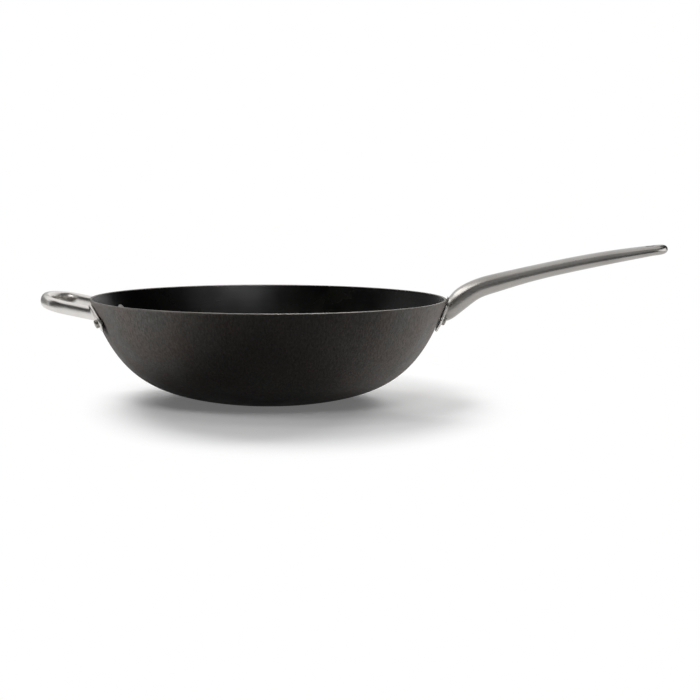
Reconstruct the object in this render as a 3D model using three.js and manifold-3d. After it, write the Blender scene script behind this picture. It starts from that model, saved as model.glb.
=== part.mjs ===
// Cast iron wok with a stainless long handle and a stainless helper loop, both riveted on.
// Millimetres, +Z up. Origin at the centre of the flat base, long handle along +X, loop along -X.

import * as THREE from 'three';
import { mergeVertices } from 'three/addons/utils/BufferGeometryUtils.js';
import Module from 'manifold-3d';

const wasm = await Module();
wasm.setup();

// Bowl
const RIM_RADIUS = 175;
const RIM_HEIGHT = 99.5;
const BASE_RADIUS = 60;
const WALL = 2.5;
const BASE_THICKNESS = 3;
const BASE_ANGLE = 9;
const RIM_ANGLE = 71.7;
const BASE_PULL = 59;
const RIM_PULL = 76.6;
const RIM_CHAMFER = 0.5;
const BOWL_SEGMENTS = 72;
const PROFILE_STEPS = 13;

// Fits
const CLEARANCE = 0.3;

// Plates that carry the handles
const PLATE = 2.5;
const PLATE_CHAMFER = 0.4;

// Rivets
const SHANK_RADIUS = 2.4;
const HEAD_RADIUS = 4.2;
const HEAD_HEIGHT = 3.2;
const HEAD_ROUND = 1.2;
const INNER_HEAD_RADIUS = 5.8;
const INNER_HEAD_HEIGHT = 2.6;
const RIVET_SEGMENTS = 16;

// Long handle bracket, depths measured down from the rim and laterals from the centre plane
const BRACKET_DEPTH = 15.5;
const BRACKET_CORNER_DEPTH = 8;
const BRACKET_CORNER_LATERAL = 9.5;
const BRACKET_CORNER_RADIUS = 3.5;
const BRACKET_RIVET_DEPTH = 18.8;
const BRACKET_RIVET_LATERAL = 13;
const BRACKET_EAR_RADIUS = 7.5;
const BRACKET_TOE_DEPTH = 23.5;
const BRACKET_TOE_RADIUS = 8.5;

// Long handle tube: reach beyond the rim, rise above it, lean of the section, height and width
const TUBE_ROOT_DEPTH = 10.9;
const TUBE_ROOT_HEIGHT = 24;
const TUBE_ROOT_WIDTH = 19;
const TUBE_STATIONS = [
  [2, -9.1, 3, 23.7, 20.5],
  [8.9, -3.8, -10.5, 23, 21.5],
  [15.5, 1.5, -15.9, 22, 22],
  [23.5, 6.9, -16.4, 20.3, 22],
  [31.7, 11.1, -11, 19.1, 22],
  [43.8, 15.1, -13, 18.2, 22],
  [75.1, 23.7, -14.5, 15.7, 22],
  [121.5, 34.5, -13.5, 14.2, 22.5],
  [167.9, 43.5, -11.4, 12.5, 23.5],
  [196.9, 48.3, -8.6, 10.4, 24],
];
const TUBE_WALL = 1.6;
const TUBE_TIP_LENGTH = 18.2;
const TUBE_TIP_SLOPE = 7.6;
const TUBE_SOLID_END = 22;
const TUBE_SQUARENESS = 2.3;
const TUBE_SIDES = 20;
const TUBE_STEPS = 26;
const TUBE_TIP_STEPS = 7;
const HANG_HOLE_RADIUS = 5.2;
const HANG_HOLE_INSET = 15.4;

// Helper loop and its feet
const LOOP_LATERAL = 46.5;
const LOOP_ROOT_DEPTH = 13;
const LOOP_RISE = 11.4;
const LOOP_REACH = 48.5;
const LOOP_BEND = 24.9;
const LOOP_HEIGHT = 12.5;
const LOOP_WIDTH = 9.6;
const LOOP_SQUARENESS = 2.3;
const LOOP_SIDES = 16;
const LOOP_STEPS = 26;
const FOOT_DEPTH = 17;
const FOOT_TOP_DEPTH = 12;
const FOOT_TOP_RADIUS = 9.5;
const FOOT_RIVET_DEPTH = 19;
const FOOT_RIVET_OFFSET = 16;
const FOOT_EAR_RADIUS = 8.5;

// Bowl wall curve, from the edge of the base to the rim
const rad = THREE.MathUtils.degToRad;
const along = (angle, length) => (
  new THREE.Vector2(Math.cos(rad(angle)), Math.sin(rad(angle))).multiplyScalar(length)
);
const baseEdge = new THREE.Vector2(BASE_RADIUS, 0);
const rimEdge = new THREE.Vector2(RIM_RADIUS, RIM_HEIGHT);
const wallCurve = new THREE.CubicBezierCurve(
  baseEdge,
  baseEdge.clone().add(along(BASE_ANGLE, BASE_PULL)),
  rimEdge.clone().sub(along(RIM_ANGLE, RIM_PULL)),
  rimEdge,
);

// Wall thickness grows from the rim to the base
function thickness(t) {
  return THREE.MathUtils.lerp(BASE_THICKNESS / Math.cos(rad(BASE_ANGLE)), WALL, t);
}

// Point of the wall curve moved inwards by a distance
function wallPoint(t, inwards) {
  const tangent = wallCurve.getTangent(t);
  const point = wallCurve.getPoint(t);
  return new THREE.Vector2(point.x - tangent.y * inwards, point.y + tangent.x * inwards);
}

// Curve parameter at which a moved wall curve reaches a height
function parameterAt(height, inwards) {
  let low = 0;
  let high = 1;
  for (let i = 0; i < 50; i += 1) {
    const middle = (low + high) / 2;
    if (wallPoint(middle, inwards(middle)).y < height) {
      low = middle;
    } else {
      high = middle;
    }
  }
  return (low + high) / 2;
}

function wallPoints(end, inwards) {
  const points = [];
  for (let i = 0; i <= PROFILE_STEPS; i += 1) {
    const t = (end * i) / PROFILE_STEPS;
    points.push(wallPoint(t, inwards(t)));
  }
  return points;
}

// Closed solids and booleans
function toManifold(geometry) {
  const bare = geometry.clone();
  bare.deleteAttribute('normal');
  bare.deleteAttribute('uv');
  const merged = mergeVertices(bare, 1e-5);
  const build = (triangles) => new wasm.Manifold(new wasm.Mesh({
    numProp: 3,
    vertProperties: new Float32Array(merged.attributes.position.array),
    triVerts: triangles,
  }));
  const triangles = new Uint32Array(merged.index.array);
  const solid = build(triangles);
  return solid.volume() > 0 ? solid : build(triangles.slice().reverse());
}

function toGeometry(solid) {
  const mesh = solid.getMesh();
  const geometry = new THREE.BufferGeometry();
  geometry.setAttribute('position', new THREE.BufferAttribute(new Float32Array(mesh.vertProperties), 3));
  geometry.setIndex(new THREE.BufferAttribute(new Uint32Array(mesh.triVerts), 1));
  geometry.computeVertexNormals();
  return geometry;
}

function revolve(points, segments) {
  return new THREE.LatheGeometry(points, segments).rotateX(Math.PI / 2);
}

// Skin through a row of rings with the same number of points, closed at both ends
function loft(rings) {
  const sides = rings[0].length;
  const positions = [];
  const index = [];
  rings.forEach((ring) => ring.forEach((point) => positions.push(point.x, point.y, point.z)));
  for (let i = 0; i + 1 < rings.length; i += 1) {
    for (let j = 0; j < sides; j += 1) {
      const a = i * sides + j;
      const b = i * sides + ((j + 1) % sides);
      index.push(a, b, b + sides, a, b + sides, a + sides);
    }
  }
  [0, rings.length - 1].forEach((i) => {
    const sum = rings[i].reduce((total, point) => total.add(point), new THREE.Vector3());
    const centre = sum.divideScalar(sides);
    const hub = positions.length / 3;
    positions.push(centre.x, centre.y, centre.z);
    for (let j = 0; j < sides; j += 1) {
      const a = i * sides + j;
      const b = i * sides + ((j + 1) % sides);
      index.push(...(i === 0 ? [b, a, hub] : [a, b, hub]));
    }
  });
  const geometry = new THREE.BufferGeometry();
  geometry.setAttribute('position', new THREE.Float32BufferAttribute(positions, 3));
  geometry.setIndex(index);
  return geometry;
}

// Rounded section ring in the plane of two axes
function ovalRing(centre, across, up, width, height, squareness, sides) {
  const power = (value) => Math.sign(value) * Math.abs(value) ** (2 / squareness);
  return Array.from({ length: sides }, (_, i) => {
    const angle = (2 * Math.PI * (i + 0.5)) / sides;
    return centre.clone()
      .addScaledVector(across, (power(Math.cos(angle)) * width) / 2)
      .addScaledVector(up, (power(Math.sin(angle)) * height) / 2);
  });
}

// Outline drawn tight around a ring of circles, each [x, y, radius]
function hullShape(ring) {
  const shape = new THREE.Shape();
  const turning = THREE.ShapeUtils.area(ring.map(([x, y]) => new THREE.Vector2(x, y)));
  const circles = turning > 0 ? ring : ring.slice().reverse();
  const edges = circles.map(([x, y, r], i) => {
    const [nx, ny, nr] = circles[(i + 1) % circles.length];
    const heading = Math.atan2(ny - y, nx - x);
    return heading - Math.acos((r - nr) / Math.hypot(nx - x, ny - y));
  });
  circles.forEach(([x, y, r], i) => {
    const from = edges[(i + circles.length - 1) % circles.length];
    shape.absarc(x, y, r, from, edges[i], false);
  });
  return shape;
}

// Frame tangent to the outside of the wall: X across, Y up the wall, Z straight out
function wallFrame(azimuth, depth) {
  const t = parameterAt(RIM_HEIGHT - depth, () => 0);
  const point = wallPoint(t, 0);
  const tangent = wallCurve.getTangent(t);
  const turn = new THREE.Matrix4().makeRotationZ(azimuth);
  const up = new THREE.Vector3(tangent.x, 0, tangent.y).applyMatrix4(turn);
  const out = new THREE.Vector3(tangent.y, 0, -tangent.x).applyMatrix4(turn);
  const origin = new THREE.Vector3(point.x, 0, point.y).applyMatrix4(turn);
  return new THREE.Matrix4().makeBasis(up.clone().cross(out), up, out).setPosition(origin);
}

// Place on a plate of the wall spot at a lateral distance from the centre plane and a depth
function plateSpot(frame, facing, lateral, depth) {
  const point = wallPoint(parameterAt(RIM_HEIGHT - depth, () => 0), 0);
  const forward = Math.sqrt(point.x ** 2 - lateral ** 2);
  return new THREE.Vector3(facing * forward, lateral, point.y).applyMatrix4(frame.clone().invert());
}

// Solids cut along a frame
const wallBand = (inwards) => {
  const inner = wallPoints(1, (t) => thickness(t) + inwards);
  const outside = RIM_RADIUS * 2;
  const top = inner[inner.length - 1].y;
  return toManifold(revolve([
    ...inner,
    new THREE.Vector2(outside, top),
    new THREE.Vector2(outside, inner[0].y),
    inner[0].clone(),
  ], BOWL_SEGMENTS));
};
const behindInnerWall = wallBand(CLEARANCE);

function rod(frame, spot, radius, low, high) {
  return toManifold(new THREE.CylinderGeometry(radius, radius, high - low, RIVET_SEGMENTS)
    .rotateX(Math.PI / 2)
    .translate(spot.x, spot.y, (low + high) / 2)
    .applyMatrix4(frame));
}

const SEAT = CLEARANCE + PLATE;

function rivetHole(frame, spot) {
  return rod(frame, spot, SHANK_RADIUS + CLEARANCE, -4 * BASE_THICKNESS, SEAT * 2);
}

// Button head outside, shank through plate and wall, domed head shaped to the inside of the wall
function rivetSolid(frame, spot) {
  const seat = SEAT + CLEARANCE;
  const skin = spot.z - thickness(1) - CLEARANCE;
  const crown = skin - INNER_HEAD_HEIGHT;
  const head = [new THREE.Vector2(0, seat + HEAD_HEIGHT)];
  for (let i = 0; i <= 3; i += 1) {
    const angle = (Math.PI / 2) * (1 - i / 3);
    head.push(new THREE.Vector2(
      HEAD_RADIUS - HEAD_ROUND * (1 - Math.cos(angle)),
      seat + HEAD_HEIGHT - HEAD_ROUND * (1 - Math.sin(angle)),
    ));
  }
  head.push(
    new THREE.Vector2(HEAD_RADIUS, seat),
    new THREE.Vector2(SHANK_RADIUS, seat),
    new THREE.Vector2(SHANK_RADIUS, skin - INNER_HEAD_HEIGHT / 2),
    new THREE.Vector2(0, skin - INNER_HEAD_HEIGHT / 2),
  );
  const dome = [
    new THREE.Vector2(0, skin + WALL / 2),
    new THREE.Vector2(INNER_HEAD_RADIUS, skin + WALL / 2),
  ];
  for (let i = 0; i < 5; i += 1) {
    const angle = (Math.PI / 2) * (i / 5);
    dome.push(new THREE.Vector2(
      INNER_HEAD_RADIUS * Math.cos(angle),
      skin - INNER_HEAD_HEIGHT * Math.sin(angle),
    ));
  }
  dome.push(new THREE.Vector2(0, crown));
  const place = (points) => {
    const turned = revolve(points, RIVET_SEGMENTS).translate(spot.x, spot.y, 0);
    return toManifold(turned.applyMatrix4(frame));
  };
  return place(head).add(place(dome).subtract(behindInnerWall));
}

function plateSolid(frame, circles, spots) {
  const plate = new THREE.ExtrudeGeometry(hullShape(circles), {
    depth: PLATE - 2 * PLATE_CHAMFER,
    bevelEnabled: true,
    bevelThickness: PLATE_CHAMFER,
    bevelSize: PLATE_CHAMFER,
    bevelOffset: -PLATE_CHAMFER,
    bevelSegments: 1,
    curveSegments: 8,
  });
  plate.translate(0, 0, CLEARANCE + PLATE_CHAMFER).applyMatrix4(frame);
  return spots.reduce((solid, spot) => solid.subtract(rivetHole(frame, spot)), toManifold(plate));
}

// Room of a plate and all that lies behind it, with a gap round it
function plateRoom(frame, circles) {
  const depth = RIM_HEIGHT * 0.2;
  const shape = hullShape(circles.map(([x, y, radius]) => [x, y, radius + CLEARANCE]));
  const room = new THREE.ExtrudeGeometry(shape, { depth, bevelEnabled: false, curveSegments: 8 });
  return toManifold(room.translate(0, 0, SEAT + CLEARANCE - depth).applyMatrix4(frame));
}

// Room of the bowl, filled, with a gap round it and the space above it
function bowlRoom() {
  const skin = wallPoints(1, () => -CLEARANCE);
  const top = RIM_HEIGHT * 1.5;
  return toManifold(revolve([
    new THREE.Vector2(0, skin[0].y),
    ...skin,
    new THREE.Vector2(skin[skin.length - 1].x, top),
    new THREE.Vector2(0, top),
  ], BOWL_SEGMENTS));
}

// Block filling everything on the bowl's side of a plate's outer face
function behindPlate(frame) {
  const size = 4 * RIM_HEIGHT * 0.2;
  const face = SEAT + CLEARANCE;
  const block = new THREE.BoxGeometry(size, size, size).translate(0, 0, face - size / 2);
  return toManifold(block.applyMatrix4(frame));
}

// Long handle bracket
const bracketFrame = wallFrame(0, BRACKET_DEPTH);
const bracketSpots = [1, -1].map((side) => (
  plateSpot(bracketFrame, 1, side * BRACKET_RIVET_LATERAL, BRACKET_RIVET_DEPTH)
));
const bracketCorners = [1, -1].map((side) => (
  plateSpot(bracketFrame, 1, side * BRACKET_CORNER_LATERAL, BRACKET_CORNER_DEPTH)
));
const bracketToe = plateSpot(bracketFrame, 1, 0, BRACKET_TOE_DEPTH);
const bracketCircles = [
  [bracketCorners[0].x, bracketCorners[0].y, BRACKET_CORNER_RADIUS],
  [bracketSpots[0].x, bracketSpots[0].y, BRACKET_EAR_RADIUS],
  [bracketToe.x, bracketToe.y, BRACKET_TOE_RADIUS],
  [bracketSpots[1].x, bracketSpots[1].y, BRACKET_EAR_RADIUS],
  [bracketCorners[1].x, bracketCorners[1].y, BRACKET_CORNER_RADIUS],
];
const bracketSolid = plateSolid(bracketFrame, bracketCircles, bracketSpots);

// Long handle tube, an oval that bends up from the bracket and thins towards the tip. Its root stands on
// the bracket, and above the bracket's top edge it reaches the rim.
const yAxis = new THREE.Vector3(0, 1, 0);
const rootFrame = wallFrame(0, TUBE_ROOT_DEPTH);
const rootPoint = new THREE.Vector3(0, 0, 0).applyMatrix4(rootFrame);
const rootLean = 90 - THREE.MathUtils.radToDeg(wallCurve.getTangent(
  parameterAt(RIM_HEIGHT - TUBE_ROOT_DEPTH, () => 0),
).angle());
const tubeStations = [
  [rootPoint.x - RIM_RADIUS, rootPoint.z - RIM_HEIGHT, rootLean, TUBE_ROOT_HEIGHT, TUBE_ROOT_WIDTH],
  ...TUBE_STATIONS,
];
const tubeLine = new THREE.CatmullRomCurve3(tubeStations.map(([reach, rise, lean]) => (
  new THREE.Vector3(reach, rise, lean)
)), false, 'centripetal');
const tubeSize = new THREE.CatmullRomCurve3(tubeStations.map(([reach, , , height, width]) => (
  new THREE.Vector3(reach, height, width)
)), false, 'centripetal');

function tubeRing(reach, rise, lean, width, height) {
  const up = new THREE.Vector3(Math.sin(rad(lean)), 0, Math.cos(rad(lean)));
  const centre = new THREE.Vector3(RIM_RADIUS + reach, 0, RIM_HEIGHT + rise);
  return ovalRing(centre, yAxis, up, width, height, TUBE_SQUARENESS, TUBE_SIDES);
}

function tubeRings(inset, end) {
  const rings = [];
  for (let i = 0; i <= TUBE_STEPS; i += 1) {
    const t = (end * i) / TUBE_STEPS;
    const line = tubeLine.getPoint(t);
    const size = tubeSize.getPoint(t);
    rings.push(tubeRing(line.x, line.y, line.z, size.z - 2 * inset, size.y - 2 * inset));
  }
  return rings;
}

const lastStation = tubeStations[tubeStations.length - 1];
const tipSlope = rad(TUBE_TIP_SLOPE);

function tipPoint(distance) {
  return [lastStation[0] + distance * Math.cos(tipSlope), lastStation[1] + distance * Math.sin(tipSlope)];
}

const outerRings = tubeRings(0, 1);
for (let i = 1; i <= TUBE_TIP_STEPS; i += 1) {
  const share = Math.sin((Math.PI / 2) * 0.97 * (i / TUBE_TIP_STEPS));
  const [reach, rise] = tipPoint(TUBE_TIP_LENGTH * share);
  const width = lastStation[4] * (1 - share ** 2.6) ** 0.5;
  const height = lastStation[3] * (1 - 0.08 * share) * (1 - share ** 7) ** 0.5;
  outerRings.push(tubeRing(reach, rise, -TUBE_TIP_SLOPE, width, height));
}
const tubeReach = lastStation[0] + TUBE_TIP_LENGTH;
const hollowEnd = (tubeReach - TUBE_SOLID_END - HANG_HOLE_RADIUS) / tubeReach;
const innerRings = tubeRings(TUBE_WALL, hollowEnd);
const [holeReach, holeRise] = tipPoint(TUBE_TIP_LENGTH - HANG_HOLE_INSET);
const holeLength = lastStation[3] * 3;
const hangHole = toManifold(new THREE.CylinderGeometry(HANG_HOLE_RADIUS, HANG_HOLE_RADIUS, holeLength, 28)
  .rotateX(Math.PI / 2)
  .rotateY(-tipSlope)
  .translate(RIM_RADIUS + holeReach, 0, RIM_HEIGHT + holeRise));
const tubeSolid = toManifold(loft(outerRings))
  .subtract(toManifold(loft(innerRings)))
  .subtract(hangHole)
  .subtract(plateRoom(bracketFrame, bracketCircles))
  .subtract(bowlRoom());

// Feet of the helper loop, one on each side of the centre plane. Each is a tab that runs outwards and down
// from the bar's end to its rivet.
const feet = [['left', -1], ['right', 1]].map(([side, sign]) => {
  const centre = wallPoint(parameterAt(RIM_HEIGHT - FOOT_DEPTH, () => 0), 0);
  const azimuth = Math.PI - sign * Math.asin(LOOP_LATERAL / centre.x);
  const frame = wallFrame(azimuth, FOOT_DEPTH);
  const top = plateSpot(frame, -1, sign * LOOP_LATERAL, FOOT_TOP_DEPTH);
  const spot = plateSpot(frame, -1, sign * (LOOP_LATERAL + FOOT_RIVET_OFFSET), FOOT_RIVET_DEPTH);
  const circles = [
    [top.x, top.y, FOOT_TOP_RADIUS],
    [spot.x, spot.y, FOOT_EAR_RADIUS],
  ];
  return { side, frame, spot, circles };
});

// Helper loop, an oval bar bent into a U in a plane that rises away from the rim
const loopRoot = wallPoint(parameterAt(RIM_HEIGHT - LOOP_ROOT_DEPTH, () => 0), 0);
const rootForward = Math.sqrt(loopRoot.x ** 2 - LOOP_LATERAL ** 2);
const bendStart = RIM_RADIUS + LOOP_REACH - LOOP_WIDTH / 2 - LOOP_BEND;
const outwards = new THREE.Vector3(-Math.cos(rad(LOOP_RISE)), 0, Math.sin(rad(LOOP_RISE)));
const loopUp = new THREE.Vector3(Math.sin(rad(LOOP_RISE)), 0, Math.cos(rad(LOOP_RISE)));
const loopOrigin = new THREE.Vector3(-rootForward, 0, loopRoot.y);

function loopRing(forward, lateral, headingForward, headingLateral) {
  const centre = loopOrigin.clone()
    .addScaledVector(outwards, (forward - rootForward) / Math.cos(rad(LOOP_RISE)))
    .addScaledVector(yAxis, lateral);
  const heading = outwards.clone()
    .multiplyScalar(headingForward)
    .addScaledVector(yAxis, headingLateral)
    .normalize();
  const across = heading.cross(loopUp);
  return ovalRing(centre, across, loopUp, LOOP_WIDTH, LOOP_HEIGHT, LOOP_SQUARENESS, LOOP_SIDES);
}

const loopRings = [loopRing(rootForward - 2 * PLATE, LOOP_LATERAL, 1, 0)];
for (let i = 0; i <= LOOP_STEPS; i += 1) {
  const angle = (Math.PI * i) / LOOP_STEPS;
  loopRings.push(loopRing(
    bendStart + LOOP_BEND * Math.sin(angle),
    LOOP_LATERAL * Math.cos(angle),
    LOOP_BEND * Math.cos(angle),
    -LOOP_LATERAL * Math.sin(angle),
  ));
}
loopRings.push(loopRing(rootForward - 2 * PLATE, -LOOP_LATERAL, -1, 0));
const loopSolid = feet.reduce(
  (solid, foot) => solid.subtract(behindPlate(foot.frame)),
  toManifold(loft(loopRings)),
);

// Rivets by name, each with its plate's frame
const rivets = [
  ...bracketSpots.map((spot, i) => (
    { name: `handle_rivet_${i === 0 ? 'left' : 'right'}`, frame: bracketFrame, spot }
  )),
  ...feet.map(({ side, frame, spot }) => ({ name: `helper_rivet_${side}`, frame, spot })),
];

// Bowl, a thin turned shell with rivet holes
const outerEnd = parameterAt(RIM_HEIGHT - RIM_CHAMFER, () => 0);
const innerEnd = parameterAt(RIM_HEIGHT - RIM_CHAMFER, thickness);
const outerWall = wallPoints(outerEnd, () => 0);
const innerWall = wallPoints(innerEnd, thickness).reverse();
const bowlProfile = [
  new THREE.Vector2(0, 0),
  ...outerWall,
  new THREE.Vector2(outerWall[outerWall.length - 1].x - RIM_CHAMFER, RIM_HEIGHT),
  new THREE.Vector2(innerWall[0].x + RIM_CHAMFER, RIM_HEIGHT),
  ...innerWall,
  new THREE.Vector2(0, BASE_THICKNESS),
];
const bowlSolid = rivets.reduce(
  (solid, { frame, spot }) => solid.subtract(rivetHole(frame, spot)),
  toManifold(revolve(bowlProfile, BOWL_SEGMENTS)),
);

// Materials
const castIron = () => new THREE.MeshStandardMaterial({ color: 0x34312e, roughness: 0.6, metalness: 0.5 });
const satinSteel = () => new THREE.MeshStandardMaterial({ color: 0xb9b7b3, roughness: 0.32, metalness: 1 });
const polishedSteel = () => new THREE.MeshStandardMaterial({ color: 0xc4c2be, roughness: 0.22, metalness: 1 });

// Assembly: a piece made along a frame sits in that frame
function piece(name, solid, material, frame = new THREE.Matrix4()) {
  const mesh = new THREE.Mesh(toGeometry(solid).applyMatrix4(frame.clone().invert()), material);
  mesh.name = name;
  mesh.applyMatrix4(frame);
  return mesh;
}

const wok = new THREE.Group();
wok.name = 'wok';
wok.add(piece('wok_bowl', bowlSolid, castIron()));
wok.add(piece('long_handle', tubeSolid, satinSteel()));
wok.add(piece('handle_bracket', bracketSolid, satinSteel(), bracketFrame));
wok.add(piece('helper_loop', loopSolid, polishedSteel()));
feet.forEach(({ side, frame, circles, spot }) => {
  const plate = plateSolid(frame, circles, [spot]);
  wok.add(piece(`helper_foot_${side}`, plate, polishedSteel(), frame));
});
rivets.forEach(({ name, frame, spot }) => {
  const place = frame.clone().multiply(new THREE.Matrix4().makeTranslation(spot.x, spot.y, 0));
  wok.add(piece(name, rivetSolid(frame, spot), polishedSteel(), place));
});

export default wok;
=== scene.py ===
"""Studio picture of a cast iron wok with a stainless long handle and a stainless helper loop.

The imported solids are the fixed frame. Each sub-assembly below remakes its pieces as fine meshes in the same
place, dresses them in procedural finishes and rides them on the frame. Sizes are in millimetres until a mesh
is made, and the scene is in metres.
"""

import logging
import math
from dataclasses import dataclass, field
from enum import Enum

import bpy
import numpy as np
from mathutils import Matrix, Vector, noise


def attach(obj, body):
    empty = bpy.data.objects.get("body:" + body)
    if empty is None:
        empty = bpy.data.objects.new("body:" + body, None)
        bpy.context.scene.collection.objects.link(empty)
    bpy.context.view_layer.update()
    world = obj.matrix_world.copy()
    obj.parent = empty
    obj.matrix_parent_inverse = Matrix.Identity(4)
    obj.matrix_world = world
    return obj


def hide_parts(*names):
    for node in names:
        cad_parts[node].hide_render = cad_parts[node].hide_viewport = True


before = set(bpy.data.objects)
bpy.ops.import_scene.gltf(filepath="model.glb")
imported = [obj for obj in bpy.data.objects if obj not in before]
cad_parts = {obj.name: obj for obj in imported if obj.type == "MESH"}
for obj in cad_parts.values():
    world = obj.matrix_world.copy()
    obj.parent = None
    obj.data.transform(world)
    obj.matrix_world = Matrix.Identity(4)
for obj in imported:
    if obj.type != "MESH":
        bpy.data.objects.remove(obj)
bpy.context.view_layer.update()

BODY = "root"
MM = 0.001
ACROSS = np.array([0.0, 1.0, 0.0])
QUARTER_TURN = math.pi / 2
# Creases sharper than this stay sharp, and everything else is shaded smooth.
SHARP_ANGLE = math.radians(38)
# Rings of a weld's hollow fillet, from its toe to the bar.
FILLET_RINGS = 7
# A noise has most of its values in this span.
NOISE_SPAN = (0.3, 0.7)
# The ring wave has one ring in this length at scale 1.
WAVE_PERIOD = 0.314
# The mix node has sockets of one name for numbers and for colours, so these pick the ones for colours.
MIX_SHARE, MIX_UNDER, MIX_OVER, MIX_RESULT = 0, 6, 7, 2
BLACK = "#000000"
WHITE_LIGHT = (1.0, 1.0, 1.0, 1.0)

Colour = tuple[float, float, float, float]

log = logging.getLogger("wok")


class Slot(Enum):
    """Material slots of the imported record."""

    IRON = "cast_iron"
    SATIN = "satin_steel"
    POLISHED = "polished_steel"
    RIVET = "rivet_steel"


class Side(Enum):
    """Side of a handle, seen from the middle of the bowl looking out."""

    LEFT = -1
    RIGHT = 1


# Nodes and colours


def linear(hex_colour: str) -> Colour:
    """Turn an sRGB hex colour into linear RGBA.

    Args:
        hex_colour: Colour such as "#1c1b19".

    Returns:
        Linear red, green, blue and full alpha.
    """
    parts = [int(hex_colour[i : i + 2], 16) / 255 for i in (1, 3, 5)]
    red, green, blue = [c / 12.92 if c <= 0.04045 else ((c + 0.055) / 1.055) ** 2.4 for c in parts]
    return red, green, blue, 1.0


def add_node(
    tree: bpy.types.NodeTree, kind: str, inputs: dict[str | int, object] | None = None, **settings: object
) -> bpy.types.Node:
    """Add one node with its settings and links.

    Args:
        tree: Node tree that takes the node.
        kind: Blender's node type.
        inputs: Socket name or number to a value, or to an output socket to link.
        settings: Node properties.

    Returns:
        The new node.
    """
    node = tree.nodes.new(kind)
    for name, value in settings.items():
        setattr(node, name, value)
    for name, value in (inputs or {}).items():
        if isinstance(value, bpy.types.NodeSocket):
            tree.links.new(value, node.inputs[name])
        else:
            node.inputs[name].default_value = value
    return node


@dataclass(frozen=True)
class Finish:
    """A surface as it was made. Subclasses paint it with nodes."""

    name: str

    def material(self) -> bpy.types.Material:
        """Make the material, or give the one already made.

        Returns:
            The finished material.
        """
        made = bpy.data.materials.get(self.name)
        if made is not None:
            return made
        material = bpy.data.materials.new(self.name)
        material.use_nodes = True
        tree = material.node_tree
        tree.nodes.clear()
        shader = add_node(tree, "ShaderNodeBsdfPrincipled")
        add_node(tree, "ShaderNodeOutputMaterial", {"Surface": shader.outputs["BSDF"]})
        place = add_node(tree, "ShaderNodeTexCoord").outputs["Object"]
        scaled = add_node(tree, "ShaderNodeVectorMath", {0: place, "Scale": 1 / MM}, operation="SCALE")
        self.paint(tree, shader, scaled.outputs["Vector"])
        return material

    def paint(self, tree: bpy.types.NodeTree, shader: bpy.types.Node, place: bpy.types.NodeSocket) -> None:
        """Add this finish's nodes.

        Args:
            tree: Node tree of the material.
            shader: Its principled shader.
            place: Position on the object in millimetres.
        """
        raise NotImplementedError

    def mottle(
        self,
        tree: bpy.types.NodeTree,
        pattern: bpy.types.NodeSocket,
        span: tuple[float, float],
        under: Colour | bpy.types.NodeSocket,
        over: str,
        most: float = 1.0,
    ) -> bpy.types.NodeSocket:
        """Lay a second colour over a first where a pattern is high.

        Args:
            tree: Node tree of the material.
            pattern: Output of the pattern.
            span: Values of the pattern where the second colour begins, and where it has its full share.
            under: First colour, or the output that gives it.
            over: Second colour in hex.
            most: Full share of the second colour.

        Returns:
            Output of the mottled colour.
        """
        share = add_node(
            tree,
            "ShaderNodeMapRange",
            {"Value": pattern, "From Min": span[0], "From Max": span[1], "To Max": most},
        )
        mixed = add_node(
            tree,
            "ShaderNodeMix",
            {MIX_SHARE: share.outputs["Result"], MIX_UNDER: under, MIX_OVER: linear(over)},
            data_type="RGBA",
        )
        return mixed.outputs[MIX_RESULT]

    def vary_sheen(
        self,
        tree: bpy.types.NodeTree,
        shader: bpy.types.Node,
        pattern: bpy.types.NodeSocket,
        roughness: tuple[float, float],
    ) -> None:
        """Let a pattern move the roughness between two values.

        Args:
            tree: Node tree of the material.
            shader: Its principled shader.
            pattern: Output of the pattern.
            roughness: Roughness where the pattern is low, and where it is high.
        """
        sockets = {
            "Value": pattern,
            "From Min": NOISE_SPAN[0],
            "From Max": NOISE_SPAN[1],
            "To Min": roughness[0],
            "To Max": roughness[1],
        }
        spread = add_node(tree, "ShaderNodeMapRange", sockets)
        tree.links.new(spread.outputs["Result"], shader.inputs["Roughness"])

    def carve(
        self,
        tree: bpy.types.NodeTree,
        shader: bpy.types.Node,
        reliefs: list[tuple[bpy.types.NodeSocket, float]],
    ) -> None:
        """Cut patterns into the surface, one over the other.

        Args:
            tree: Node tree of the material.
            shader: Its principled shader.
            reliefs: Output of each pattern, and its depth in millimetres.
        """
        below: dict[str, bpy.types.NodeSocket] = {}
        for pattern, depth in reliefs:
            relief = add_node(tree, "ShaderNodeBump", {"Height": pattern, "Distance": depth * MM, **below})
            below = {"Normal": relief.outputs["Normal"]}
        tree.links.new(below["Normal"], shader.inputs["Normal"])


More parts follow.
